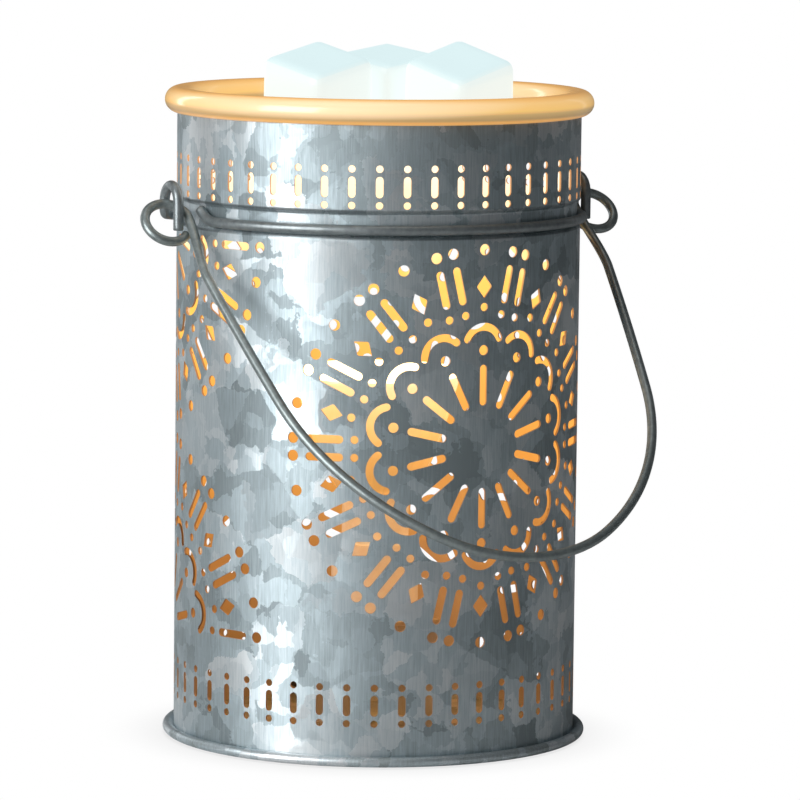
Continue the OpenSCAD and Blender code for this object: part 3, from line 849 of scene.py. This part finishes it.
def wax_cubes():
    """Three moulded cubes. Each is a cube grid p pushed out to a rounded box:
    q = clamp(p, -h, h) + r (p - clamp) / |p - clamp|, drawn in a little
    towards the top, with a faint hollow in its upper face. It leans to the
    near side, and what would lie below the bowl's floor is levelled."""
    # points along an edge, corner radius, half an edge; the hollow's half
    # width and depth, and how far the base is drawn down before levelling
    n, r, hh = 15, 3.4, WAX / 2
    hollow, depth, base = 9, 0.5, 10
    lin = np.linspace(-1, 1, n)
    lin = np.sign(lin) * np.abs(lin) ** 0.8
    u, v = np.meshgrid(lin, lin, indexing="ij")
    one = np.ones_like(u)
    sides = [(u, v, one), (v, u, -one), (one, u, v), (-one, v, u), (v, one, u), (u, -one, v)]
    p = np.concatenate([np.stack([c.ravel() for c in s], -1) for s in sides]) * hh
    quads = np.concatenate([grid_quads(n, n, start=k * n * n)[:, ::-1] for k in range(6)])
    core = np.clip(p, -(hh - r), hh - r)
    d = p - core
    ln = np.linalg.norm(d, axis=1, keepdims=True)
    q = core + np.where(ln > 1e-9, d / np.maximum(ln, 1e-9) * r, 0)
    taper = 1 - 0.03 * (q[:, 2:] / hh + 1) / 2
    q = q * np.concatenate([taper, taper, np.ones_like(taper)], 1)
    dip = np.clip(1 - np.abs(q[:, :2]) / hollow, 0, 1).prod(1)
    q[:, 2] -= depth * dip * (q[:, 2] > hh - 1) + base * (q[:, 2] < r - hh)
    a, b, c = q[quads[:, 0]], q[quads[:, 1]], q[quads[:, 2]]
    flip = (np.cross(b - a, c - a) * (a + c) / 2).sum(1) < 0
    quads[flip] = quads[flip][:, ::-1]
    mat = wax_mat()
    for i, (x, y, lean) in enumerate(WAX_PLACES):
        rot = turn(2, WAX_TURN) @ turn(0, lean) @ turn(2, 45)
        v = q @ rot.T + turn(2, WAX_TURN) @ [x, y, 0] + [0, 0, DISH_FLOOR + hh]
        v[:, 2] = np.maximum(v[:, 2], DISH_FLOOR)
        o = mesh("wax_%d" % (i + 1), v, [quads], [mat])
        dress(o, "dish", "wax", *(["wax_cubes"] if i == 0 else []))


wax_cubes()


# ---- bulb -----------------------------------------------------------------

def facets(v, a):
    """Dents a bowl: each vertex goes in by 0.35 (1 - m^2), where m is the
    greater of its distances from a facet's middle, round 24 columns and up
    rows of 4.5 mm, each from 0 to 1."""
    k = np.abs(((a * 24 / (2 * math.pi)) % 1.0) - 0.5) * 2
    row = np.abs(((v[0, :, 2] - REFL_Z) / 4.5) % 1.0 - 0.5) * 2
    dent = 0.35 * (1 - np.maximum(k[:, None], row[None, :]) ** 2)
    v[..., :2] *= (1 - dent / np.maximum(np.hypot(v[..., 0], v[..., 1]), 1))[..., None]
    return v


def bulb():
    """A reflector lamp: the bowl r(t) = r0 + (R - r0) t^0.62 with shallow
    facets, and a rounded front glass."""
    t = np.linspace(0, 1, 30)
    rad = NECK_R + (BULB_R - NECK_R) * t ** 0.62
    z = REFL_Z + (LENS_Z - REFL_Z) * t
    prof = np.concatenate([np.stack([rad, z], -1), np.stack([rad - 1.4, z], -1)[::-1]])
    body = glow_by_height("bulb_bowl", (0.85, 0.72, 0.5),
                          [(0.0, (0.30, 0.13, 0.03)), (0.45, (0.75, 0.42, 0.12)),
                           (0.8, (1.0, 0.72, 0.32)), (1.0, (1.0, 0.9, 0.65))],
                          0.75, 70, 110, 0.6, 0.2)
    dress(lathe("bulb_bowl", prof, [body], 192, facets), "bulb", "bulb_glass",
          "bulb_reflector")
    glass = np.concatenate([[[HUB, LENS_Z], [22, LENS_Z], [24.9, LENS_Z + 0.1]],
                            arc(24.1, LENS_Z + 0.9, 0.85, -45, 90, 8),
                            [[12, LENS_TOP - 0.05], [HUB, LENS_TOP]]])
    lit = plain("bulb_front", (1.0, 0.93, 0.75), 0.0, 0.3, (1.0, 0.74, 0.38), 3.5)
    dress(lathe("bulb_front", glass, [lit], 96), "bulb", "bulb_glass", "bulb_lens")


bulb()


# ---- finishes of the construction's own pieces ----------------------------

# the ceramic and the zinc plate glow faintly orange by emission: painted light from the bulb
ceramic_painted_glow = plain("glazed_ceramic_painted_glow", (0.86, 0.83, 0.76), 0.0, 0.25, (0.9, 0.6, 0.35), 0.22)
brass = plain("brass", (0.78, 0.58, 0.26), 1.0, 0.3)
zinc = plain("zinc_plate_painted_glow", (0.62, 0.60, 0.55), 0.9, 0.35, (0.9, 0.5, 0.2), 0.05)
rubber = plain("rubber", (0.035, 0.035, 0.035), 0.0, 0.7)
capsule = plain("capsule_glass", (1.0, 0.95, 0.85), 0.0, 0.2, (1.0, 0.85, 0.6), 12.0)
for names, finish in ((("bulb_base", "lampholder"), ceramic_painted_glow),
                      (("bulb_pins", "lampholder_contacts"), brass),
                      (("holder_bracket", "holder_screws", "holder_nuts", "bracket_rivets",
                        "base_screws", "base_nuts"), zinc),
                      (("foot_pads", "cord_bushing"), rubber), (("bulb_capsule",), capsule)):
    for name in names:
        slots = frame["nodes"][name].data.materials
        slots.clear()
        slots.append(finish)


# ---- stage, light and camera ----------------------------------------------

def camera_rays(tree, seen, other):
    """One shader for what the camera sees itself, another for all other rays."""
    path = tree.nodes.new("ShaderNodeLightPath")
    mix = tree.nodes.new("ShaderNodeMixShader")
    tree.links.new(path.outputs["Is Camera Ray"], mix.inputs[0])
    tree.links.new(other.outputs[0], mix.inputs[1])
    tree.links.new(seen.outputs[0], mix.inputs[2])
    return mix.outputs[0]


def floor():
    """A plain pale floor, wide and flat, at the feet's own height: white to
    the camera, with a painted contact shadow, darker where ambient occlusion
    finds the lantern close by."""
    s = 4000.0
    m, t, b = new_mat("floor")
    put(b, Base_Color=(0.72, 0.72, 0.72, 1), Roughness=0.9)
    near = node(t, "ShaderNodeAmbientOcclusion", Distance=0.03).outputs["AO"]
    # painted contact shadow: the camera's white is darkened where AO finds the lantern
    shade = ramp(t, near, [(0.35, (0.80,) * 3), (0.9, (1.0,) * 3)])
    glow = node(t, "ShaderNodeEmission", Color=shade)
    t.links.new(camera_rays(t, glow, b), t.nodes["Material Output"].inputs["Surface"])
    mesh("floor", np.array([[-s, -s, 0], [s, -s, 0], [s, s, 0], [-s, s, 0]]),
                  [np.array([[0, 1, 2, 3]])], [m])


def world():
    """White to the camera, and a soft cool dome to every other ray."""
    w = bpy.data.worlds.new("studio")
    bpy.context.scene.world = w
    w.use_nodes = True
    t = w.node_tree
    t.nodes.clear()
    white = node(t, "ShaderNodeBackground", Color=(1, 1, 1, 1))
    dome = node(t, "ShaderNodeBackground", Color=(0.92, 0.96, 1.0, 1), Strength=0.08)
    out = t.nodes.new("ShaderNodeOutputWorld")
    t.links.new(camera_rays(t, white, dome), out.inputs["Surface"])


def softbox(name, right, near, up, w, h, power):
    """A soft light w by h at picture-right, near and up, in mm, which faces
    the lantern's middle."""
    d = bpy.data.lights.new(name, "AREA")
    d.shape = "RECTANGLE"
    d.size, d.size_y, d.energy = w * 0.001, h * 0.001, power
    o = bpy.data.objects.new(name, d)
    bpy.context.scene.collection.objects.link(o)
    p = Vector((RIGHT * right + NEAR * near + UP * up) * 0.001)
    o.location = p
    o.rotation_mode = "QUATERNION"
    o.rotation_quaternion = (Vector((0, 0, 0.1)) - p).to_track_quat("-Z", "Y")


def camera(lens, right, near, up, pitch, yaw, roll):
    """A camera at picture-right, near and up, in mm, that looks away along
    -NEAR, then turns right by yaw, down by pitch and over by roll, degrees."""
    pitch, yaw, roll = math.radians(pitch), math.radians(yaw), math.radians(roll)
    level = RIGHT * math.sin(yaw) - NEAR * math.cos(yaw)
    fwd = level * math.cos(pitch) - UP * math.sin(pitch)
    side = RIGHT * math.cos(yaw) + NEAR * math.sin(yaw)
    head = np.cross(side, fwd)
    axes = [side * math.cos(roll) + head * math.sin(roll),
            head * math.cos(roll) - side * math.sin(roll), -fwd]
    cam = bpy.data.cameras.new("camera")
    cam.lens, cam.sensor_width, cam.clip_end = lens, 36.0, 50.0
    o = bpy.data.objects.new("camera", cam)
    bpy.context.scene.collection.objects.link(o)
    o.rotation_mode = "QUATERNION"
    o.rotation_quaternion = Matrix(np.stack(axes, 1).tolist()).to_quaternion()
    o.location = (RIGHT * right + NEAR * near + UP * up) * 0.001
    bpy.context.scene.camera = o


floor()
world()
softbox("key_left", -1100, 950, 350, 850, 1500, 26)
softbox("fill_front", -300, 1500, 700, 700, 900, 0.6)
softbox("top", -200, 200, 1300, 900, 900, 2)
softbox("rim_left", -900, -800, 300, 160, 1200, 2)
softbox("rim_right", 900, -1100, 400, 120, 1000, 0.2)
camera(235.25, 0.34, 1551.48, 280.43, 6.6229, 0.2466, 0.6396)
bpy.context.scene.view_settings.view_transform = "Standard"
